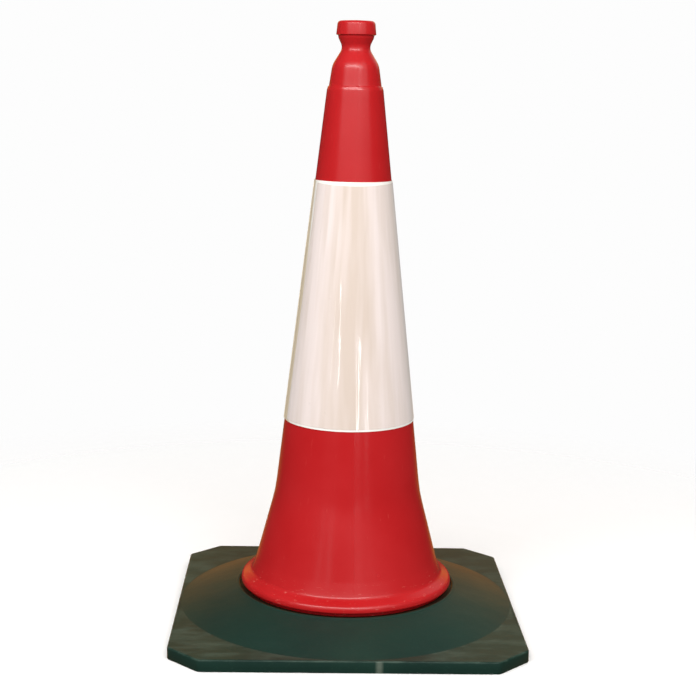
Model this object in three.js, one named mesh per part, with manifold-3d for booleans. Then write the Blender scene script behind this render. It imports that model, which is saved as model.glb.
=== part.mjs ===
// A 750 mm two-part road cone: a heavy square base, a hollow blow-moulded cone
// body that plugs into it, and a slip-on reflective sleeve.
// Millimetres, +Z up, origin on the ground under the middle of the base.
import * as THREE from 'three';
import { mergeVertices } from 'three/addons/utils/BufferGeometryUtils.js';
import Module from 'manifold-3d';

const wasm = await Module();
wasm.setup();

// ---------- driving dimensions ----------
const HEIGHT = 750;              // ground to the top of the head
const SEGMENTS = 48;             // sides of every turned shape
const ARC_STEP = Math.PI / 7;    // largest turn between two points of a rounding

// base
const BASE_SIDE = 430;
const BASE_THICKNESS = 15;       // flat rim at the sides and corners
const CORNER_CHAMFER = 39;       // cut back along each side
const EDGE_ROUND = 2;
const DOME_RADIUS = 213;         // foot of the raised dome
const DOME_BULGE_RADIUS = 168.5; // where the dome's slope bends, about half way up
const DOME_BULGE_Z = 30.7;
const DOME_BEND = 300;
const SEAT_LIP_RADIUS = 138.5;   // top of the dome, just outside the cone's flange
const SEAT_LIP_Z = 39.3;
const SEAT_FLOOR_Z = 36.5;       // ledge that the flange rests on
const SEAT_WALL_RADIUS = 137;

// underside pockets of the base, between its ribs
const POCKET_COUNT = 16;
const POCKET_INNER_RADIUS = 134;
const POCKET_OUTER_RADIUS = 196;
const POCKET_DEPTH = 6;
const RIB_WIDTH = 12;

// cone body
const TAPER = 0.1143;            // loss of radius per mm of height on the long cone
const FLARE_RADIUS = 92.5;       // where the long cone turns into the flared skirt
const FLARE_Z = 161;
const SKIRT_BEND = 182;          // bending radius between the cone and the skirt
const FLANGE_RADIUS = 135;
const FLANGE_FOOT_RADIUS = 129;  // edge of the part that rests on the ledge
const FLANGE_LOW_Z = 41.8;       // underside of the flange's free edge
const FLANGE_TOP_Z = 50.4;
const CREASE_RADIUS = 121.6;     // where the skirt stands on the flange
const CREASE_Z = 56.2;
const SKIRT_RADIUS = 115.2;      // lowest bend of the skirt
const SKIRT_Z = 75;
const WALL = 3;
const PLUG_RADIUS = 116.2;       // plug that stands in the hole of the base
const PLUG_LOW_Z = 8;
const PLUG_TAPER = 0.11;
const STEP_Z = 671;              // collar step near the top
const STEP_RADIUS = 32.3;        // above the step
const SHOULDER_RADIUS = 28.5;
const SHOULDER_Z = 696.5;
const NECK_RADIUS = 16;          // where the neck's two slopes would meet
const NECK_Z = 716.8;
const UNDERCUT_RADIUS = 21.6;    // top of the neck, under the grip knob
const HEAD_LIP_Z = 732.6;        // underside of the grip knob
const HEAD_LIP_RADIUS = 24.45;
const HEAD_TOP_RADIUS = 22.8;
const HEAD_CROWN = 1.7;          // rise of the knob's domed top

// fits
const SEAT_GAP = 0.3;            // flange over its ledge
const PLUG_GAP = 0.7;            // plug inside its hole, on the radius
const SLEEVE_GAP = 0.2;          // sleeve over the cone
const FILM_GAP = 0.1;            // film over its backing

// sleeve
const SLEEVE_LOW_Z = 256;
const SLEEVE_TOP_Z = 557;
const BACKING_THICKNESS = 0.6;
const FILM_THICKNESS = 0.3;
const FILM_BORDER = 2.6;         // white backing left bare along both edges
const SEAM_WIDTH = 26;           // welded lap left bare between the ends of the film
const SEAM_TURN = THREE.MathUtils.degToRad(188.5);

// ---------- helpers ----------
const coneRadius = (z) => FLARE_RADIUS - TAPER * (z - FLARE_Z);

// Rounds the corners of an outline: each point is [radius, z, corner radius].
function rounded(corners) {
  const points = [];
  corners.forEach(([x, y, round = 0], i) => {
    const here = new THREE.Vector2(x, y);
    if (!round || i === 0 || i === corners.length - 1) {
      points.push(here);
      return;
    }
    const back = new THREE.Vector2(...corners[i - 1].slice(0, 2)).sub(here).normalize();
    const on = new THREE.Vector2(...corners[i + 1].slice(0, 2)).sub(here).normalize();
    const half = Math.acos(THREE.MathUtils.clamp(back.dot(on), -1, 1)) / 2;
    const centre = back.clone().add(on).normalize().multiplyScalar(round / Math.sin(half)).add(here);
    const start = here.clone().addScaledVector(back, round / Math.tan(half)).sub(centre);
    const sweep = (Math.PI - 2 * half) * Math.sign(on.cross(back));
    const steps = Math.max(2, Math.ceil(Math.abs(sweep) / ARC_STEP));
    for (let k = 0; k <= steps; k += 1) {
      points.push(start.clone().rotateAround(new THREE.Vector2(), (sweep * k) / steps).add(centre));
    }
  });
  return points;
}

// Turns an outline round the Z axis. Outer walls run upwards, inner walls down.
function turned(corners) {
  return new THREE.LatheGeometry(rounded(corners), SEGMENTS).rotateX(Math.PI / 2);
}

function ring(corners) {
  return turned([...corners, corners[0]]);
}

function toSolid(geometry) {
  const bare = geometry.clone();
  bare.deleteAttribute('normal');
  bare.deleteAttribute('uv');
  const merged = mergeVertices(bare, 1e-4);
  const mesh = new wasm.Mesh({
    numProp: 3,
    vertProperties: new Float32Array(merged.attributes.position.array),
    triVerts: new Uint32Array(merged.index.array),
  });
  return new wasm.Manifold(mesh);
}

function toGeometry(solid) {
  const mesh = solid.getMesh();
  const geometry = new THREE.BufferGeometry();
  geometry.setAttribute('position', new THREE.BufferAttribute(mesh.vertProperties, mesh.numProp));
  geometry.setIndex(new THREE.BufferAttribute(mesh.triVerts, 1));
  geometry.computeVertexNormals();
  return geometry;
}

function part(name, geometry, color, roughness) {
  const material = new THREE.MeshStandardMaterial({ color, roughness, metalness: 0 });
  const mesh = new THREE.Mesh(geometry, material);
  mesh.name = name;
  return mesh;
}

// ---------- base ----------
function slab() {
  const half = BASE_SIDE / 2 - EDGE_ROUND;
  const cut = half - CORNER_CHAMFER + EDGE_ROUND * Math.tan(Math.PI / 8);
  const outline = new THREE.Shape();
  outline.moveTo(-cut, -half);
  outline.lineTo(cut, -half);
  outline.lineTo(half, -cut);
  outline.lineTo(half, cut);
  outline.lineTo(cut, half);
  outline.lineTo(-cut, half);
  outline.lineTo(-half, cut);
  outline.lineTo(-half, -cut);
  outline.closePath();
  return new THREE.ExtrudeGeometry(outline, {
    depth: BASE_THICKNESS - 2 * EDGE_ROUND,
    bevelThickness: EDGE_ROUND,
    bevelSize: EDGE_ROUND,
    bevelSegments: 3,
  }).translate(0, 0, EDGE_ROUND);
}

function dome() {
  const sunk = BASE_THICKNESS / 2;
  return turned([
    [0, sunk],
    [DOME_RADIUS - 2, sunk],
    [DOME_RADIUS, BASE_THICKNESS - 0.8],
    [DOME_BULGE_RADIUS, DOME_BULGE_Z, DOME_BEND],
    [SEAT_LIP_RADIUS, SEAT_LIP_Z, 1.5],
    [0, SEAT_LIP_Z],
  ]);
}

function hole() {
  const top = PLUG_RADIUS + PLUG_GAP;
  const low = top - PLUG_TAPER * SEAT_FLOOR_Z;
  const past = 10;
  return turned([
    [0, -past],
    [low - PLUG_TAPER * past, -past],
    [top, SEAT_FLOOR_Z],
    [SEAT_WALL_RADIUS, SEAT_FLOOR_Z],
    [SEAT_LIP_RADIUS - 0.7, SEAT_LIP_Z + past],
    [0, SEAT_LIP_Z + past],
  ]);
}

function pocket(turn) {
  const pitch = (2 * Math.PI) / POCKET_COUNT;
  const inner = pitch / 2 - RIB_WIDTH / 2 / POCKET_INNER_RADIUS;
  const outer = pitch / 2 - RIB_WIDTH / 2 / POCKET_OUTER_RADIUS;
  const outline = new THREE.Shape();
  outline.absarc(0, 0, POCKET_OUTER_RADIUS, turn - outer, turn + outer, false);
  outline.absarc(0, 0, POCKET_INNER_RADIUS, turn + inner, turn - inner, true);
  outline.closePath();
  return new THREE.ExtrudeGeometry(outline, {
    depth: 2 * POCKET_DEPTH,
    bevelEnabled: false,
    curveSegments: 4,
  }).translate(0, 0, -POCKET_DEPTH);
}

function base() {
  let solid = toSolid(slab()).add(toSolid(dome())).subtract(toSolid(hole()));
  for (let i = 0; i < POCKET_COUNT; i += 1) {
    solid = solid.subtract(toSolid(pocket(((i + 0.5) * 2 * Math.PI) / POCKET_COUNT)));
  }
  return part('base', toGeometry(solid), '#24382f', 0.55);
}

// ---------- cone body ----------
function coneBody() {
  const plugTop = SEAT_FLOOR_Z + SEAT_GAP;
  const plugLow = PLUG_RADIUS - PLUG_TAPER * (plugTop - PLUG_LOW_Z);
  const neckInside = NECK_RADIUS - WALL / 2;
  const inside = [
    [0, HEIGHT - WALL],
    [HEAD_TOP_RADIUS - WALL, HEIGHT - WALL],
    [HEAD_LIP_RADIUS - WALL, HEAD_LIP_Z + WALL],
    [neckInside, NECK_Z + WALL],
    [neckInside, NECK_Z - WALL],
    [SHOULDER_RADIUS - WALL, SHOULDER_Z - 1],
    [STEP_RADIUS - WALL, STEP_Z + 1],
    [coneRadius(STEP_Z - 8) - WALL, STEP_Z - 8],
    [FLARE_RADIUS - WALL, FLARE_Z, SKIRT_BEND],
    [CREASE_RADIUS - 2 * WALL, CREASE_Z + 2 * WALL],
    [PLUG_RADIUS - WALL, plugTop],
    [plugLow - WALL, PLUG_LOW_Z],
  ];
  const outside = [
    [plugLow, PLUG_LOW_Z],
    [PLUG_RADIUS, plugTop],
    [FLANGE_FOOT_RADIUS, plugTop],
    [FLANGE_FOOT_RADIUS + 1.5, FLANGE_LOW_Z],
    [FLANGE_RADIUS, FLANGE_LOW_Z, 2.2],
    [FLANGE_RADIUS, FLANGE_TOP_Z, 4.2],
    [CREASE_RADIUS, CREASE_Z],
    [SKIRT_RADIUS, SKIRT_Z, SKIRT_BEND / 3],
    [FLARE_RADIUS, FLARE_Z, SKIRT_BEND],
    [coneRadius(STEP_Z), STEP_Z - 0.4, 1.4],
    [STEP_RADIUS, STEP_Z],
    [SHOULDER_RADIUS, SHOULDER_Z, 24],
    [NECK_RADIUS, NECK_Z, 11],
    [UNDERCUT_RADIUS, HEAD_LIP_Z - 4],
    [UNDERCUT_RADIUS + 0.5, HEAD_LIP_Z - 1],
    [HEAD_LIP_RADIUS, HEAD_LIP_Z],
    [HEAD_TOP_RADIUS, HEIGHT - HEAD_CROWN, 4.5],
    [0, HEIGHT],
  ];
  return part('cone_body', turned([...inside, ...outside]), '#c01e22', 0.35);
}

// ---------- sleeve ----------
// A tapered tube that follows the cone, `gap` off it and `thick` through.
function tube(low, high, gap, thick) {
  return ring([
    [coneRadius(low) + gap + thick, low],
    [coneRadius(high) + gap + thick, high],
    [coneRadius(high) + gap, high],
    [coneRadius(low) + gap, low],
  ]);
}

function sleeveBacking() {
  const geometry = tube(SLEEVE_LOW_Z, SLEEVE_TOP_Z, SLEEVE_GAP, BACKING_THICKNESS);
  return part('sleeve_backing', geometry, '#f2efe8', 0.5);
}

function reflectiveFilm() {
  const gap = SLEEVE_GAP + BACKING_THICKNESS + FILM_GAP;
  const full = tube(SLEEVE_LOW_Z + FILM_BORDER, SLEEVE_TOP_Z - FILM_BORDER, gap, FILM_THICKNESS);
  const reach = 2 * coneRadius(SLEEVE_LOW_Z);
  const strip = new THREE.BoxGeometry(reach, SEAM_WIDTH, HEIGHT)
    .translate(reach / 2, 0, HEIGHT / 2)
    .rotateZ(SEAM_TURN);
  const solid = toSolid(full).subtract(toSolid(strip));
  return part('reflective_film', toGeometry(solid), '#e9d3cd', 0.2);
}

// ---------- assembly ----------
const sleeve = new THREE.Group();
sleeve.add(sleeveBacking(), reflectiveFilm());

const upper = new THREE.Group();
upper.add(coneBody(), sleeve);

const cone = new THREE.Group();
cone.add(base(), upper);

export default cone;
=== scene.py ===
import math

import bmesh
import bpy
from bpy.props import FloatProperty, FloatVectorProperty, IntProperty, PointerProperty
from mathutils import Matrix, Vector, noise


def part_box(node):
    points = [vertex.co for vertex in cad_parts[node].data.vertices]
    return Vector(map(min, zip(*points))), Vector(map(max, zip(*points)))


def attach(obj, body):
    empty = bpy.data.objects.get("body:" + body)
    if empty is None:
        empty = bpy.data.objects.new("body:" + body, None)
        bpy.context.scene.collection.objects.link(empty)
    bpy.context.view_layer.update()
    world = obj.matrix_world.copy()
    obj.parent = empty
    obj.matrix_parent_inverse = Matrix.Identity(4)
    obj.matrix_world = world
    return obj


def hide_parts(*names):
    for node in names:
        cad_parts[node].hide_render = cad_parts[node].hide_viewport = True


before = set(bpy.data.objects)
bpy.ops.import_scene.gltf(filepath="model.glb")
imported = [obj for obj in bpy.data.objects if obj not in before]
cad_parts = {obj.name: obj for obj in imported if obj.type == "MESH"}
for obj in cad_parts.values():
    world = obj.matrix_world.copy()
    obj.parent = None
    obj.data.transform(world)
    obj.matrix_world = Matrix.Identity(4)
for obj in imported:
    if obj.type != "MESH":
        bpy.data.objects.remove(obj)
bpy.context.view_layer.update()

bl_info = {
    "name": "Road Cone",
    "version": (1, 0, 0),
    "blender": (4, 5, 0),
    "location": "View3D > Sidebar > Road Cone",
    "description": "Two-part road cone with a slip-on reflective sleeve, built round its packed frame",
    "category": "Add Mesh",
}

MM = 0.001
BASE_LOW, BASE_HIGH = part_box("base")
CONE_LOW, CONE_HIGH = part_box("cone_body")
SLEEVE_LOW, SLEEVE_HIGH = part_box("sleeve_backing")
FILM_LOW, FILM_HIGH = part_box("reflective_film")


# ---------- sizes and colours that a user would change ----------
def linear(code):
    """A colour written as sRGB hex, as the linear RGBA that shaders take."""
    parts = [int(code[i:i + 2], 16) / 255 for i in (1, 3, 5)]
    lit = [p / 12.92 if p <= 0.04045 else ((p + 0.055) / 1.055) ** 2.4 for p in parts]
    return (*lit, 1.0)


def colour(name, description, code):
    return FloatVectorProperty(
        name=name, description=description, default=linear(code)[:3], subtype="COLOR",
        min=0, max=1,
    )


def length(name, description, default):
    return FloatProperty(name=name, description=description, default=default, unit="LENGTH")


def angle(name, description, degrees):
    return FloatProperty(
        name=name, description=description, default=math.radians(degrees), subtype="ANGLE"
    )


class RoadConeSizes(bpy.types.PropertyGroup):
    base_side: length("Base side", "Width of the square base", BASE_HIGH.x - BASE_LOW.x)
    base_rim: length("Base rim", "Thickness of the base at its sides", 15 * MM)
    corner_cut: length("Corner cut", "How far each corner is cut back", 39 * MM)
    dome_radius: length("Dome radius", "Foot of the raised dome", 212.3 * MM)
    seat_lip: length("Seat lip radius", "Bead round the seat of the flange", 138.5 * MM)
    taper: FloatProperty(
        name="Taper", description="Loss of radius for each unit of height", default=0.1143
    )
    flare_radius: length("Flare radius", "Radius where the skirt begins to flare", 92.5 * MM)
    flare_z: length("Flare height", "Height where the skirt begins to flare", 161 * MM)
    step_z: length("Step height", "Height of the collar step under the head", 671 * MM)
    knob_z: length("Knob height", "Underside of the grip knob", 732.6 * MM)
    wall: length("Wall", "Wall of the blow-moulded body", 3 * MM)
    parting_turn: angle("Parting line", "Where the mould's parting line stands", -86.7)
    seam_turn: angle("Sleeve seam", "Where the welded lap of the sleeve stands", 188.5)
    seam_width: length("Seam width", "Bare strip between the ends of the film", 26 * MM)
    segments: IntProperty(
        name="Segments", description="Sides of every turned shape", default=192, min=48
    )


class RoadConeLooks(bpy.types.PropertyGroup):
    cone_red: colour("Cone red", "Blow-moulded cone body", "#b51519")
    base_green: colour("Base green", "Recycled rubber base", "#0f2e27")
    sheet_white: colour("Sheet white", "Carrier sheet of the sleeve", "#fffefb")
    film_pink: colour("Film pink", "Pinker bands of the reflective film", "#f5e8e4")
    film_cream: colour("Film cream", "Creamier bands of the reflective film", "#dfcfc3")
    floor_white: colour("Floor white", "Pale floor", "#fefefe")


# ---------- mesh helpers ----------
def rounded(corners):
    """Rounds an outline: each corner is (radius, height, corner radius) in millimetres."""
    finest = math.radians(11)
    points = []
    for i, corner in enumerate(corners):
        here = Vector(corner[:2])
        size = corner[2] if len(corner) > 2 else 0
        if not size or i in (0, len(corners) - 1):
            points.append(here)
            continue
        back = (Vector(corners[i - 1][:2]) - here).normalized()
        on = (Vector(corners[i + 1][:2]) - here).normalized()
        half = back.angle(on) / 2
        centre = here + (back + on).normalized() * size / math.sin(half)
        start = here + back * size / math.tan(half) - centre
        sweep = (math.pi - 2 * half) * (1 if on.cross(back) > 0 else -1)
        steps = max(2, math.ceil(abs(sweep) / finest))
        for k in range(steps + 1):
            points.append(centre + Matrix.Rotation(sweep * k / steps, 2) @ start)
    return [Vector((p.x * MM, 0, p.y * MM)) for p in points]


def spun(bm, points, segments, spacing=8 * MM):
    """Turns an open outline once round the Z axis and returns its new faces."""
    before = set(bm.faces)
    verts = [bm.verts.new(p) for p in points]
    edges = [bm.edges.new(pair) for pair in zip(verts, verts[1:])]
    for edge in edges:
        cuts = int(edge.calc_length() / spacing)
        if cuts:
            bmesh.ops.subdivide_edges(bm, edges=[edge], cuts=cuts)
    line = [e for e in bm.edges if not e.link_faces and all(abs(v.co.y) < 1e-9 for v in e.verts)]
    ends = list({v for e in line for v in e.verts})
    bmesh.ops.spin(
        bm, geom=ends + line, cent=(0, 0, 0), axis=(0, 0, 1), dvec=(0, 0, 0),
        angle=2 * math.pi, steps=segments, use_merge=True, use_normal_flip=False,
        use_duplicate=False,
    )
    return [f for f in bm.faces if f not in before]


def bevel(bm, edges, offset, segments):
    return bmesh.ops.bevel(
        bm, geom=edges, offset=offset, offset_type="OFFSET", affect="EDGES",
        segments=segments, profile=0.5, material=-1, clamp_overlap=True,
    )


def close_up(bm):
    """Welds poles and seams and turns every face outwards."""
    weld, speck = 0.005 * MM, 0.001 * MM
    bmesh.ops.remove_doubles(bm, verts=bm.verts, dist=weld)
    bmesh.ops.dissolve_degenerate(bm, edges=bm.edges, dist=speck)
    bmesh.ops.recalc_face_normals(bm, faces=bm.faces)


def finished(bm, name, material, body, node, sharp=32):
    """Makes the piece, smooth but for its sharp edges, and ties it to the frame."""
    for face in bm.faces:
        face.smooth = True
    for edge in bm.edges:
        if len(edge.link_faces) == 2:
            edge.smooth = edge.calc_face_angle(0) < math.radians(sharp)
    mesh = bpy.data.meshes.new(name)
    bm.to_mesh(mesh)
    bm.free()
    mesh.materials.append(material)
    piece = bpy.data.objects.new(name, mesh)
    bpy.context.scene.collection.objects.link(piece)
    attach(piece, body)
    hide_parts(node)
    return piece


# ---------- materials ----------
def add(tree, kind, settings=None, links=None):
    """Adds a node. Settings are its own properties or its inputs' values, and links join its
    inputs to another node's first output or to a socket. Inputs go by name or by number. A
    MapRange takes the range 1 to 2 to the range 3 to 4, which is 0 to 1 where it isn't given."""
    node = tree.nodes.new("ShaderNode" + kind)
    settings = dict(settings or {})
    for key in [k for k in settings if isinstance(k, str) and hasattr(node, k)]:
        setattr(node, key, settings.pop(key))
    sockets = {s.name: s for s in reversed(node.inputs) if s.enabled}
    sockets.update(enumerate(node.inputs))
    for key, value in settings.items():
        sockets[key].default_value = value
    for key, source in (links or {}).items():
        if isinstance(source, bpy.types.Node):
            source = next(o for o in source.outputs if o.enabled)
        tree.links.new(source, sockets[key])
    return node


def material_tree(name):
    """An empty material, its tree and its object coordinates."""
    material = bpy.data.materials.new(name)
    material.use_nodes = True
    tree = material.node_tree
    tree.nodes.clear()
    place = add(tree, "TexCoord").outputs["Object"]
    return material, tree, place


def blown_polyethylene():
    """Polyethylene, blow-moulded: waxy saturated red with a soft gloss, which breaks up in a
    faint orange peel, in fine rubs that run up and down, and in pale scuffs on the flange."""
    material, tree, place = material_tree("polyethylene_blow_moulded_red")
    looks = bpy.context.scene.road_cone_looks
    cloud = add(tree, "TexNoise", {"Scale": 1 / (90 * MM), "Detail": 3}, {"Vector": place})
    tint = add(tree, "MapRange", {"interpolation_type": "SMOOTHSTEP", 1: 0.2, 2: 0.8},
               {"Value": cloud})
    red = add(tree, "Mix", {"data_type": "RGBA", "A": (*looks.cone_red, 1),
                            "B": linear("#bd1c20")}, {"Factor": tint})
    tall = add(tree, "Mapping", {"Scale": (1, 1, 1 / 14)}, {"Vector": place})
    rub = add(tree, "TexNoise", {"Scale": 1 / (5 * MM), "Detail": 4, "Roughness": 0.6},
              {"Vector": tall})
    rubbed = add(tree, "MapRange", {1: 0.66, 2: 0.78, 3: 0.0, 4: 0.3}, {"Value": rub})
    red = add(tree, "Mix", {"data_type": "RGBA", "B": linear("#d2534c")},
              {"Factor": rubbed, "A": red})
    height = add(tree, "SeparateXYZ", {}, {"Vector": place}).outputs["Z"]
    low = add(tree, "MapRange", {1: 56 * MM, 2: 78 * MM, 3: 1.0, 4: 0.0}, {"Value": height})
    squat = add(tree, "Mapping", {"Scale": (1, 1, 6)}, {"Vector": place})
    scuff = add(tree, "TexNoise", {"Scale": 1 / (9 * MM), "Detail": 4, "Roughness": 0.65},
                {"Vector": squat})
    scuffs = add(tree, "MapRange", {1: 0.63, 2: 0.69, 3: 0.0, 4: 0.45}, {"Value": scuff})
    scuffed = add(tree, "Math", {"operation": "MULTIPLY"}, {0: scuffs, 1: low})
    red = add(tree, "Mix", {"data_type": "RGBA", "B": linear("#e58a7c")},
              {"Factor": scuffed, "A": red})
    peel = add(tree, "TexNoise", {"Scale": 1 / (3.2 * MM), "Detail": 1}, {"Vector": place})
    sag = add(tree, "Mapping", {"Scale": (1, 1, 1 / 3)}, {"Vector": place})
    wave = add(tree, "TexNoise", {"Scale": 1 / (45 * MM), "Detail": 1}, {"Vector": sag})
    normal = add(tree, "Bump", {"Distance": 0.5 * MM, "Strength": 1.0}, {"Height": wave})
    normal = add(tree, "Bump", {"Distance": 0.05 * MM, "Strength": 0.6},
                 {"Height": peel, "Normal": normal})
    gloss = add(tree, "MapRange", {1: 0.1, 2: 0.9, 3: 0.2, 4: 0.3}, {"Value": cloud})
    shader = add(tree, "BsdfPrincipled", {"IOR": 1.5},
                 {"Base Color": red, "Roughness": gloss, "Normal": normal})
    add(tree, "OutputMaterial", {}, {"Surface": shader})
    return material


def recycled_rubber():
    """Recycled rubber and PVC, pressed in a mould: black-green and satin, with a fine grit,
    paler smears where boots and other cones have rubbed it, rims paler from wear and with a
    painted highlight along the top rim, one scrape down its front, painted near-black shade in
    the seat under the flange, and a brown bloom of road dust that shows at low angles."""
    material, tree, place = material_tree("recycled_rubber_pressed_green")
    looks = bpy.context.scene.road_cone_looks
    cloud = add(tree, "TexNoise", {"Scale": 1 / (120 * MM), "Detail": 4}, {"Vector": place})
    tint = add(tree, "MapRange", {"interpolation_type": "SMOOTHSTEP", 1: 0.2, 2: 0.8},
               {"Value": cloud})
    green = add(tree, "Mix", {"data_type": "RGBA", "A": (*looks.base_green, 1),
                              "B": linear("#15372d")}, {"Factor": tint})
    crumb = add(tree, "TexNoise", {"Scale": 1 / (2.4 * MM), "Detail": 2}, {"Vector": place})
    crumbs = add(tree, "MapRange", {1: 0.64, 2: 0.72, 3: 0.0, 4: 0.4}, {"Value": crumb})
    green = add(tree, "Mix", {"data_type": "RGBA", "B": linear("#2b463a")},
                {"Factor": crumbs, "A": green})
    wide = add(tree, "Mapping", {"Scale": (0.35, 1, 1), "Rotation": (0, 0, 0.3)},
               {"Vector": place})
    smear = add(tree, "TexNoise", {"Scale": 1 / (26 * MM), "Detail": 5, "Roughness": 0.7},
                {"Vector": wide})
    smeared = add(tree, "MapRange", {1: 0.56, 2: 0.78, 3: 0.0, 4: 0.16}, {"Value": smear})
    green = add(tree, "Mix", {"data_type": "RGBA", "B": linear("#365248")},
                {"Factor": smeared, "A": green})
    split = add(tree, "SeparateXYZ", {}, {"Vector": place}).outputs
    # Partly wear and partly a painted highlight: the bevel of the top rim is painted paler where light
    # catches it.
    rim = add(tree, "MapRange", {1: 12.6 * MM, 2: 14.4 * MM}, {"Value": split["Z"]})
    below = add(tree, "MapRange", {1: 14.95 * MM, 2: 15.05 * MM, 3: 1.0, 4: 0.0},
                {"Value": split["Z"]})
    chip = add(tree, "MapRange", {1: 0.45, 2: 0.62, 3: 0.0, 4: 0.5}, {"Value": smear})
    wear_and_painted_highlight = add(tree, "Math", {"operation": "MULTIPLY"}, {0: rim, 1: below})
    wear_and_painted_highlight = add(tree, "Math", {"operation": "MULTIPLY"}, {0: wear_and_painted_highlight, 1: chip})
    green = add(tree, "Mix", {"data_type": "RGBA", "B": linear("#5d7264")},
                {"Factor": wear_and_painted_highlight, "A": green})
    scrape_x = 35 * MM
    off = add(tree, "Math", {"operation": "SUBTRACT", 1: scrape_x}, {0: split["X"]})
    off = add(tree, "Math", {"operation": "ABSOLUTE"}, {0: off})
    scrape = add(tree, "MapRange", {1: 1.5 * MM, 2: 5.5 * MM, 3: 0.6, 4: 0.0}, {"Value": off})
    face = add(tree, "MapRange", {1: -214.6 * MM, 2: -213.5 * MM, 3: 1.0, 4: 0.0},
               {"Value": split["Y"]})
    scraped = add(tree, "Math", {"operation": "MULTIPLY"}, {0: scrape, 1: face})
    scraped = add(tree, "Math", {"operation": "MULTIPLY"}, {0: scraped, 1: smear})
    green = add(tree, "Mix", {"data_type": "RGBA", "B": linear("#9aa393")},
                {"Factor": scraped, "A": green})
    # Painted shade: the seat under the flange's edge is painted near black where the shade falls.
    flat = add(tree, "Mapping", {"Scale": (1, 1, 0)}, {"Vector": place})
    reach = add(tree, "VectorMath", {"operation": "LENGTH"}, {0: flat}).outputs["Value"]
    painted_seat_shade = add(tree, "MapRange", {1: 137.6 * MM, 2: 138.6 * MM, 3: 0.95, 4: 0.0},
                {"Value": reach})
    green = add(tree, "Mix", {"data_type": "RGBA", "B": linear("#040605")},
                {"Factor": painted_seat_shade, "A": green})
    grit = add(tree, "TexNoise", {"Scale": 1 / (1.4 * MM), "Detail": 3}, {"Vector": place})
    wave = add(tree, "TexNoise", {"Scale": 1 / (40 * MM), "Detail": 2}, {"Vector": place})
    normal = add(tree, "Bump", {"Distance": 0.6 * MM, "Strength": 1.0}, {"Height": wave})
    normal = add(tree, "Bump", {"Distance": 0.14 * MM, "Strength": 0.7},
                 {"Height": grit, "Normal": normal})
    satin = add(tree, "MapRange", {1: 0.3, 2: 0.7, 3: 0.49, 4: 0.57}, {"Value": smear})
    shader = add(tree, "BsdfPrincipled",
                 {"IOR": 1.38, "Sheen Weight": 0.56, "Sheen Roughness": 0.3,
                  "Sheen Tint": linear("#d08a3c")},
                 {"Base Color": green, "Roughness": satin, "Normal": normal})
    add(tree, "OutputMaterial", {}, {"Surface": shader})
    return material


def carrier_sheet():
    """Soft PVC sheet, calendered: warm white and satin, with the slightest yellowing, and
    painted a shaded beige along its lap. Its own map says where the lap is."""
    material, tree, place = material_tree("pvc_sheet_calendered_white")
    looks = bpy.context.scene.road_cone_looks
    cloud = add(tree, "TexNoise", {"Scale": 1 / (60 * MM), "Detail": 2}, {"Vector": place})
    tint = add(tree, "MapRange", {"interpolation_type": "SMOOTHSTEP", 1: 0.2, 2: 0.8},
               {"Value": cloud})
    white = add(tree, "Mix", {"data_type": "RGBA", "A": (*looks.sheet_white, 1),
                              "B": linear("#f6f2ea")}, {"Factor": tint})
    flat = add(tree, "TexCoord").outputs["UV"]
    along = add(tree, "SeparateXYZ", {}, {"Vector": flat}).outputs["X"]
    off = add(tree, "Math", {"operation": "SUBTRACT", 1: 0.5}, {0: along})
    off = add(tree, "Math", {"operation": "ABSOLUTE"}, {0: off})
    # Painted shade: the strip along the lap is painted warm beige where it lies in shade.
    lap = add(tree, "MapRange", {1: 0.42, 2: 0.43}, {"Value": off})
    white = add(tree, "Mix", {"data_type": "RGBA", "B": linear("#e6d8bd")},
                {"Factor": lap, "A": white})
    grain = add(tree, "TexNoise", {"Scale": 1 / (1.8 * MM), "Detail": 2}, {"Vector": place})
    normal = add(tree, "Bump", {"Distance": 0.05 * MM, "Strength": 0.5}, {"Height": grain})
    shader = add(tree, "BsdfPrincipled", {"Roughness": 0.3, "IOR": 1.53},
                 {"Base Color": white, "Normal": normal})
    add(tree, "OutputMaterial", {}, {"Surface": shader})
    return material


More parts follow.
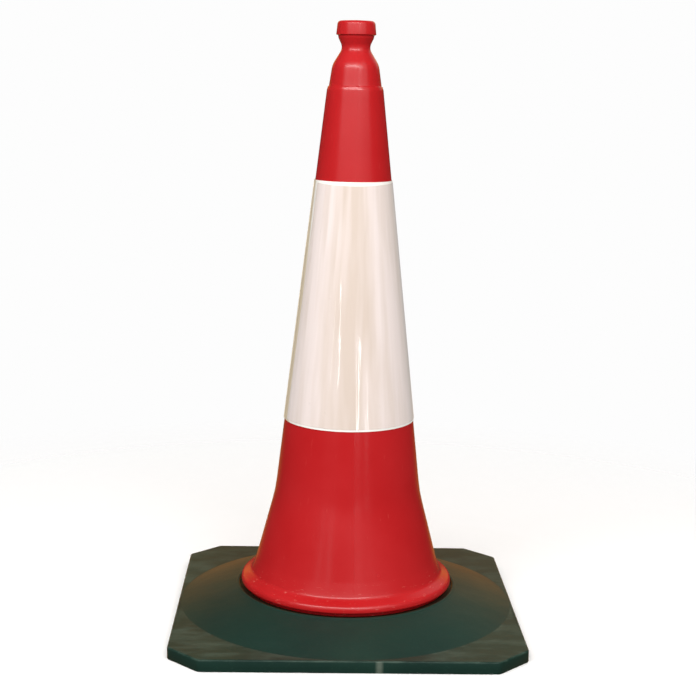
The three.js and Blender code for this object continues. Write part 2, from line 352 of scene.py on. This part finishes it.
def glass_bead_film():
    """Retroreflective film, glass beads under a clear face: a pearly off-white that drifts
    between cream and pink in tall soft bands, laid so the darker cream is painted shade at the
    front and the paler pink painted light at the sides, glossy, with tall ripples and a few
    blisters that catch thin lights. The film's own map runs from 0 to 1 once round and once up."""
    material, tree, _ = material_tree("retroreflective_film_glass_bead")
    looks = bpy.context.scene.road_cone_looks
    flat = add(tree, "TexCoord").outputs["UV"]
    round_size, tall_size = 520 * MM, 300 * MM
    # Partly the film's own pearly tint and partly painted shade and light: the bands are laid so the
    # darker cream faces the front and the paler pink the sides.
    bands, first_band = 3.6, 0.206
    turns = add(tree, "SeparateXYZ", {}, {"Vector": flat}).outputs["X"]
    turn = add(tree, "Math", {"operation": "MULTIPLY_ADD", 1: 2 * math.pi * bands,
                              2: -2 * math.pi * bands * first_band}, {0: turns})
    swell = add(tree, "Math", {"operation": "COSINE"}, {0: turn})
    sheet = add(tree, "Mapping", {"Scale": (round_size, tall_size / 9, 1)}, {"Vector": flat})
    drift = add(tree, "TexNoise", {"Scale": 1 / (20 * MM), "Detail": 2}, {"Vector": sheet})
    drifted = add(tree, "MapRange", {1: 0.35, 2: 0.65, 3: -0.8, 4: 0.8}, {"Value": drift})
    pearls = add(tree, "Math", {"operation": "ADD"}, {0: swell, 1: drifted})
    band = add(tree, "MapRange", {1: -1.2, 2: 1.2}, {"Value": pearls})
    pearl_tint_and_painted_shade = add(tree, "Mix", {"data_type": "RGBA", "A": (*looks.film_pink, 1),
                              "B": (*looks.film_cream, 1)}, {"Factor": band})
    crease = add(tree, "Mapping", {"Scale": (round_size, tall_size / 14, 1),
                                   "Location": (0.31, 0.2, 0)}, {"Vector": flat})
    ripple = add(tree, "TexNoise", {"Scale": 1 / (9 * MM), "Detail": 1.5}, {"Vector": crease})
    even = add(tree, "Mapping", {"Scale": (round_size, tall_size, 1)}, {"Vector": flat})
    cell = add(tree, "TexVoronoi", {"Scale": 1 / (26 * MM), "Randomness": 1.0},
               {"Vector": even})
    blister = add(tree, "MapRange", {1: 0.0, 2: 0.09, 3: 1.0, 4: 0.0}, {"Value": cell})
    normal = add(tree, "Bump", {"Distance": 0.5 * MM, "Strength": 1.0}, {"Height": ripple})
    normal = add(tree, "Bump", {"Distance": 0.3 * MM, "Strength": 1.0},
                 {"Height": blister, "Normal": normal})
    shader = add(tree, "BsdfPrincipled",
                 {"Roughness": 0.35, "IOR": 1.1, "Coat Weight": 1.0, "Coat Roughness": 0.05,
                  "Coat IOR": 1.9, "Sheen Weight": 0.65, "Sheen Roughness": 0.45},
                 {"Base Color": pearl_tint_and_painted_shade, "Normal": normal, "Coat Normal": normal})
    add(tree, "OutputMaterial", {}, {"Surface": shader})
    return material


def matt_floor():
    """Studio floor, painted: plain matt white that fades out into the background."""
    material, tree, place = material_tree("floor_painted_matt_white")
    looks = bpy.context.scene.road_cone_looks
    reach = add(tree, "VectorMath", {"operation": "LENGTH"}, {0: place}).outputs["Value"]
    fade = add(tree, "MapRange", {1: 0.4, 2: 1.1}, {"Value": reach})
    plain = add(tree, "BsdfDiffuse", {"Color": (*looks.floor_white, 1)})
    clear = add(tree, "BsdfTransparent")
    shader = add(tree, "MixShader", {}, {0: fade, 1: plain, 2: clear})
    add(tree, "OutputMaterial", {}, {"Surface": shader})
    return material


# ---------- outlines ----------
def cone_radius(z_mm):
    """Radius of the long cone at a height, both in millimetres."""
    sizes = bpy.context.scene.road_cone_sizes
    return sizes.flare_radius / MM - sizes.taper * (z_mm - sizes.flare_z / MM)


def body_outline():
    """The cone body's section: down its inside from the top, round the plug, up the outside."""
    sizes = bpy.context.scene.road_cone_sizes
    wall, step, knob = sizes.wall / MM, sizes.step_z / MM, sizes.knob_z / MM
    flare, flare_z = sizes.flare_radius / MM, sizes.flare_z / MM
    top, flange = CONE_HIGH.z / MM, CONE_HIGH.x / MM
    plug_low, ledge, flange_low, flange_high = CONE_LOW.z / MM, 36.8, 41.8, 50.4
    head, shoulder, neck, neck_z, throat, crown = 32.3, 28.5, 16, step + 45.8, 21.6, 22.8
    inside = [
        (0, top - wall), (crown - wall, top - wall - 1, 2), (24.4 - wall, knob + 1, 1),
        (throat - wall, knob - 4, 1), (neck - wall / 2, neck_z, 9),
        (shoulder - wall, step + 24.5, 22), (head - wall, step + 1, 1),
        (cone_radius(step - 8) - wall, step - 8, 2), (flare - wall, flare_z, 182),
        (115.6, 62, 4),
    ]
    plug = [
        (113.2, ledge, 8), (110, plug_low, 1.2), (113, plug_low, 1.2), (116.2, ledge, 1.2),
    ]
    skirt = [
        (129, ledge, 1.8), (130.6, flange_low, 1.2), (flange, flange_low, 2.8),
        (flange, flange_high, 7), (121.6, 56.2, 8), (115.2, 75, 60), (flare, flare_z, 185),
    ]
    collar = [
        (cone_radius(step - 4.5), step - 4.5, 8), (cone_radius(step) - 0.8, step - 0.4, 0.8),
    ]
    grip = [
        (head, step, 0.5), (shoulder, step + 25.5, 24), (neck, neck_z, 11),
        (throat, knob - 4, 0.8), (22.1, knob - 0.8, 0.3), (24.45, knob, 0.5),
        (crown, top - 1.1, 4.2), (0, top),
    ]
    return rounded(inside + plug + skirt + collar + grip)


# ---------- operators ----------
class ROADCONE_OT_base(bpy.types.Operator):
    """Build the square base with its dome, seat, hole and underside pockets"""
    bl_idname = "road_cone.base"
    bl_label = "Base"

    def execute(self, context):
        sizes = context.scene.road_cone_sizes
        bm = bmesh.new()
        rims = slab(bm, sizes)
        hole, seat, lip, lip_z = 112.9, 36.5, sizes.seat_lip / MM, BASE_HIGH.z / MM
        foot, rim = sizes.dome_radius / MM, sizes.base_rim / MM
        top = spun(bm, rounded([
            (hole, 0), (hole, 1.5), (116.9, seat, 0.6), (137, seat, 0.8),
            (lip - 0.6, lip_z, 0.7), (lip + 1.6, lip_z, 1.2), (lip + 3.6, 38, 2),
            (168.5, 30.7, 300), (foot, rim, 6), (foot + 0.4, rim),
        ]), sizes.segments)
        inner, outer, edge = 134, 196, 200
        under = spun(bm, rounded([(hole, 0), (inner, 0), (outer, 0), (edge, 0)]),
                     sizes.segments, 80 * MM)
        fill_between(bm, rims[0], outer_loop(bm, top, sizes.base_rim), 1)
        fill_between(bm, rims[1], outer_loop(bm, under, 0), -1)
        pockets(bm, [f for f in under if f.is_valid], inner * MM, outer * MM)
        close_up(bm)
        finished(bm, "base_block", recycled_rubber(), "base", "base")
        return {"FINISHED"}


def slab(bm, sizes):
    """The square slab's rounded sides. Returns the open top and bottom rims."""
    side, rim = sizes.base_side, sizes.base_rim
    bmesh.ops.create_cube(bm, size=1)
    bmesh.ops.scale(bm, vec=(side, side, rim), verts=bm.verts)
    bmesh.ops.translate(bm, vec=(0, 0, rim / 2), verts=bm.verts)
    for offset, segments in ((sizes.corner_cut, 1), (3 * MM, 3)):
        uprights = [e for e in bm.edges if abs(e.verts[0].co.z - e.verts[1].co.z) > rim / 2]
        bevel(bm, uprights, offset, segments)
    for height, offset, segments in ((rim, 1.8 * MM, 4), (0, 1.2 * MM, 2)):
        ring = [e for e in bm.edges if all(abs(v.co.z - height) < 1e-6 for v in e.verts)]
        bevel(bm, ring, offset, segments)
    bm.normal_update()
    lids = [f for f in bm.faces if abs(f.normal.z) > 0.999]
    bmesh.ops.inset_individual(bm, faces=lids, thickness=1.5 * MM, use_even_offset=True)
    rims = [[list(f.edges) for f in lids if f.normal.z * way > 0][0] for way in (1, -1)]
    bmesh.ops.delete(bm, geom=lids, context="FACES_ONLY")
    return rims


def outer_loop(bm, faces, height):
    """The open edges of a turned surface that lie at a height, on its outermost ring."""
    edges = {e for f in faces for e in f.edges if e.is_boundary}
    outermost = max(v.co.xy.length for e in edges for v in e.verts)
    reach = outermost - 0.1 * MM
    return [e for e in edges if all(
        abs(v.co.z - height) < 1e-6 and v.co.xy.length > reach for v in e.verts)]


def fill_between(bm, outer, inner, way):
    bmesh.ops.triangle_fill(
        bm, use_beauty=True, use_dissolve=False, edges=outer + inner, normal=(0, 0, way)
    )


def pockets(bm, faces, inner, outer):
    """Sinks a ring of pockets into the underside, leaving ribs between them."""
    count, depth, rib, slope = 16, 6 * MM, 12 * MM, 1.5 * MM
    ring = [f for f in faces if inner < f.calc_center_median().xy.length < outer]
    pitch = 2 * math.pi / count
    groups = [[] for _ in range(count)]
    for face in ring:
        centre = face.calc_center_median()
        turn = math.atan2(centre.y, centre.x) % (2 * math.pi)
        groups[int(turn / pitch) % count].append(face)
    for group in groups:
        for inset in (rib / 2, slope):
            bmesh.ops.inset_region(bm, faces=group, thickness=inset, use_even_offset=True,
                                   use_boundary=True)
        ceiling = list({v for f in group for v in f.verts})
        bmesh.ops.translate(bm, vec=(0, 0, depth), verts=ceiling)


class ROADCONE_OT_body(bpy.types.Operator):
    """Build the hollow blow-moulded cone body with its mould parting line"""
    bl_idname = "road_cone.body"
    bl_label = "Cone body"

    def execute(self, context):
        sizes = context.scene.road_cone_sizes
        bm = bmesh.new()
        spun(bm, body_outline(), sizes.segments)
        close_up(bm)
        parting_line(bm, sizes.parting_turn)
        finished(bm, "cone_shell", blown_polyethylene(), "cone", "cone_body",
                 sharp=60)
        return {"FINISHED"}


def parting_line(bm, turn):
    """Raises the fine ridge that the two halves of the mould leave, up and over the body."""
    across = Vector((-math.sin(turn), math.cos(turn), 0))
    height, crest, foot, apron = 0.12 * MM, 0.35 * MM, 1.1 * MM, 1.8 * MM
    lowest, highest = 42 * MM, CONE_HIGH.z - 2 * MM
    for offset in (-apron, -foot, -crest, crest, foot, apron):
        bmesh.ops.bisect_plane(
            bm, geom=list(bm.verts) + list(bm.edges) + list(bm.faces), dist=1e-7,
            plane_co=across * offset, plane_no=across,
        )
    bm.normal_update()
    for vert in bm.verts:
        outside = lowest < vert.co.z < highest and vert.normal.xy.dot(vert.co.xy) > 0
        if outside and abs(vert.co.dot(across)) < 1.1 * crest:
            vert.co += vert.normal * height


class ROADCONE_OT_backing(bpy.types.Operator):
    """Build the white carrier tube of the sleeve, wrapped round with a welded lap"""
    bl_idname = "road_cone.backing"
    bl_label = "Sleeve backing"

    def execute(self, context):
        bm = bmesh.new()
        ends = (-18 * MM, -5 * MM)
        wrapped(bm, SLEEVE_LOW.z, SLEEVE_HIGH.z, ends, (224, 60), carrier_lift)
        thicken(bm, 0.5 * MM)
        finished(bm, "sleeve_carrier", carrier_sheet(), "sleeve",
                 "sleeve_backing")
        return {"FINISHED"}


class ROADCONE_OT_film(bpy.types.Operator):
    """Build the reflective film bonded round the sleeve, short of its edges and its lap"""
    bl_idname = "road_cone.film"
    bl_label = "Reflective film"

    def execute(self, context):
        half = context.scene.road_cone_sizes.seam_width / 2
        droop = 2.2 * MM
        bm = bmesh.new()
        wrapped(bm, FILM_LOW.z, FILM_HIGH.z, (half, -half), (224, 74), film_lift, droop)
        thicken(bm, 0.28 * MM)
        finished(bm, "sleeve_film", glass_bead_film(), "sleeve",
                 "reflective_film")
        return {"FINISHED"}


def carrier_lift(along, height):
    """The carrier lies on the cone, and its last stretch climbs onto its first."""
    climb = max(0.0, min(1.0, (along - 0.93) / 0.03))
    return 0.22 * MM + 0.55 * MM * climb * climb * (3 - 2 * climb)


def film_lift(along, height):
    """The film lies on the carrier in long shallow ripples, flatter at its ends."""
    ripple = noise.noise(Vector((along * 26, height * 4, 1.7)))
    ripple += 0.5 * noise.noise(Vector((along * 61, height * 6, 5.1)))
    calm = min(1.0, along / 0.02, (1 - along) / 0.02)
    return 0.9 * MM + 0.09 * MM * ripple * max(0.0, calm)


def wrapped(bm, low, high, ends, cuts, lift, droop=0.0):
    """Wraps a flat grid round the cone, in `cuts` steps round and up. Its two ends stand off
    the seam by the distances in `ends`, `lift` says how far it lies off the cone at each
    place, and its top edge hangs down by `droop` at the front."""
    sizes = bpy.context.scene.road_cone_sizes
    bm.loops.layers.uv.new("sheet")
    bmesh.ops.create_grid(bm, x_segments=cuts[0], y_segments=cuts[1], size=0.5, calc_uvs=True)
    for vert in bm.verts:
        along, height = vert.co.x + 0.5, vert.co.y + 0.5
        z = low + (high - low) * height
        radius = cone_radius(z / MM) * MM
        start = sizes.seam_turn + ends[0] / radius
        stop = sizes.seam_turn + 2 * math.pi + ends[1] / radius
        turn = start + (stop - start) * along
        z -= droop * max(0.0, -math.sin(turn)) ** 2 * height ** 6
        reach = cone_radius(z / MM) * MM + lift(along, height)
        vert.co = (reach * math.cos(turn), reach * math.sin(turn), z)
    bmesh.ops.recalc_face_normals(bm, faces=bm.faces)
    face = next(iter(bm.faces))
    if face.normal.xy.dot(face.calc_center_median().xy) < 0:
        bmesh.ops.reverse_faces(bm, faces=bm.faces)


def thicken(bm, depth):
    """Gives a sheet its thickness outwards, with closed edges."""
    bmesh.ops.solidify(bm, geom=bm.faces, thickness=-depth)
    bmesh.ops.recalc_face_normals(bm, faces=bm.faces)


class ROADCONE_OT_stage(bpy.types.Operator):
    """Set the floor, the soft studio lights, the background and the camera"""
    bl_idname = "road_cone.stage"
    bl_label = "Stage"

    def execute(self, context):
        floor()
        lights()
        background(context.scene)
        camera(context.scene)
        context.scene.view_settings.view_transform = "Standard"
        return {"FINISHED"}


def floor():
    bm = bmesh.new()
    bmesh.ops.create_circle(bm, cap_ends=True, segments=96, radius=4)
    mesh = bpy.data.meshes.new("floor")
    bm.to_mesh(mesh)
    bm.free()
    mesh.materials.append(matt_floor())
    piece = bpy.data.objects.new("floor", mesh)
    bpy.context.scene.collection.objects.link(piece)
    piece.visible_glossy = False
    piece.visible_diffuse = False
    piece.visible_shadow = False


def softbox(name, azimuth, elevation, distance, size, power):
    """An area light that looks at the middle of the cone. The azimuth runs from the front
    to the right, and it and the elevation are in degrees."""
    middle = Vector((0, 0, CONE_HIGH.z / 2))
    turn, rise = math.radians(azimuth), math.radians(elevation)
    level = Vector((math.sin(turn), -math.cos(turn), 0))
    back = level * math.cos(rise) + Vector((0, 0, math.sin(rise)))
    lamp(name, middle + back * distance, -back, size, power)


def slit(name, azimuth, low, high, width):
    """An upright slit of window light in front of the cone, between two heights in metres."""
    distance, glow = 2.4, 14
    turn = math.radians(azimuth)
    back = Vector((math.sin(turn), -math.cos(turn), 0))
    place = back * distance + Vector((0, 0, (low + high) / 2))
    lamp(name, place, -back, (width, high - low), glow * width * (high - low))


def lamp(name, place, way, size, power):
    data = bpy.data.lights.new(name, "AREA")
    data.shape = "RECTANGLE"
    data.size, data.size_y = size
    data.energy = power
    light = bpy.data.objects.new(name, data)
    light.location = place
    light.rotation_mode = "QUATERNION"
    light.rotation_quaternion = way.to_track_quat("-Z", "Y")
    bpy.context.scene.collection.objects.link(light)


def lights():
    softbox("front_softbox", -18, 35, 2.6, (3.6, 2.0), 27)
    softbox("side_softbox", 36, 35, 2.6, (1.8, 2.0), 12)
    softbox("bright_strip", -12, 41, 2.3, (3.2, 0.22), 32)
    softbox("back_softbox", 150, 30, 2.8, (2.4, 1.4), 4)
    slit("window_slit_left", -24, 0.36, 0.68, 0.07)
    slit("window_slit_far_left", -36, 0.34, 0.60, 0.06)
    slit("window_slit_right", 14, 0.20, 0.49, 0.10)
    slit("window_slit_far_right", 29, 0.12, 0.39, 0.07)


def background(scene):
    """Even studio light, plain white to the eye. What the cone mirrors is a darker room, with
    warm timber low down at the back, on the wall and on the floor."""
    world = bpy.data.worlds.new("studio")
    world.use_nodes = True
    tree = world.node_tree
    tree.nodes.clear()
    way = add(tree, "TexCoord").outputs["Generated"]
    split = add(tree, "SeparateXYZ", {}, {"Vector": way}).outputs
    rise, depth = split["Z"], split["Y"]
    low = add(tree, "MapRange", {1: 0.25, 2: 0.42, 3: 1.0, 4: 0.0}, {"Value": rise})
    above = add(tree, "MapRange", {1: 0.06, 2: 0.14}, {"Value": rise})
    boards = add(tree, "MapRange", {1: -0.24, 2: -0.16, 3: 0.55, 4: 0.0}, {"Value": rise})
    behind = add(tree, "MapRange", {1: 0.7, 2: 0.92}, {"Value": depth})
    timber = add(tree, "Math", {"operation": "MULTIPLY_ADD"}, {0: low, 1: above, 2: boards})
    timber = add(tree, "Math", {"operation": "MULTIPLY"}, {0: timber, 1: behind})
    under = add(tree, "MapRange", {1: -0.3, 2: 0.0}, {"Value": rise})
    wall = add(tree, "Mix", {"data_type": "RGBA", "A": linear("#2a2018"),
                             "B": linear("#383634")}, {"Factor": under})
    room = add(tree, "Mix", {"data_type": "RGBA", "B": linear("#ffc263")},
               {"Factor": timber, "A": wall})
    mirrored = add(tree, "Background", {"Strength": 1.0}, {"Color": room})
    lift = add(tree, "MapRange", {1: -1.0, 2: 1.0, 3: 0.26, 4: 0.74}, {"Value": rise})
    fill = add(tree, "Background", {"Color": linear("#fffaf5")}, {"Strength": lift})
    seen = add(tree, "Background", {"Color": linear("#fdfdfd")})
    path = add(tree, "LightPath").outputs
    unseen = add(tree, "MixShader", {}, {0: path["Is Glossy Ray"], 1: fill, 2: mirrored})
    shown = add(tree, "MixShader", {}, {0: path["Is Camera Ray"], 1: unseen, 2: seen})
    add(tree, "OutputWorld", {}, {"Surface": shown})
    scene.world = world


def camera(scene):
    """A long lens near the front, level with the collar and looking slightly down."""
    place = (-0.0517, -1.8438, 0.6778)
    turn, tilt, roll = 0.0265, 0.1783, 0.019
    data = bpy.data.cameras.new("camera")
    data.sensor_width = 36
    data.lens = 76.8
    eye = bpy.data.objects.new("camera", data)
    eye.matrix_world = (
        Matrix.Translation(place)
        @ Matrix.Rotation(-turn, 4, "Z")
        @ Matrix.Rotation(math.pi / 2 - tilt, 4, "X")
        @ Matrix.Rotation(roll, 4, "Z")
    )
    scene.collection.objects.link(eye)
    scene.camera = eye


# ---------- panel and registration ----------
OPERATORS = (
    ROADCONE_OT_stage,
    ROADCONE_OT_base,
    ROADCONE_OT_body,
    ROADCONE_OT_backing,
    ROADCONE_OT_film,
)


class ROADCONE_PT_panel(bpy.types.Panel):
    """Lists the pieces of the road cone and their sizes"""
    bl_idname = "ROADCONE_PT_panel"
    bl_label = "Road Cone"
    bl_space_type = "VIEW_3D"
    bl_region_type = "UI"
    bl_category = "Road Cone"

    def draw(self, context):
        column = self.layout.column(align=True)
        for operator in OPERATORS:
            column.operator(operator.bl_idname)
        for group in (context.scene.road_cone_sizes, context.scene.road_cone_looks):
            for name in group.__annotations__:
                column.prop(group, name)


CLASSES = (RoadConeSizes, RoadConeLooks, *OPERATORS, ROADCONE_PT_panel)


def register():
    for cls in CLASSES:
        bpy.utils.register_class(cls)
    bpy.types.Scene.road_cone_sizes = PointerProperty(type=RoadConeSizes)
    bpy.types.Scene.road_cone_looks = PointerProperty(type=RoadConeLooks)


def unregister():
    del bpy.types.Scene.road_cone_looks
    del bpy.types.Scene.road_cone_sizes
    for cls in reversed(CLASSES):
        bpy.utils.unregister_class(cls)


def main():
    register()
    ops = bpy.ops.road_cone
    for build in (ops.stage, ops.base, ops.body, ops.backing, ops.film):
        if build() != {"FINISHED"}:
            raise RuntimeError(f"{build.idname()} could not be built")


if __name__ == "__main__":
    main()
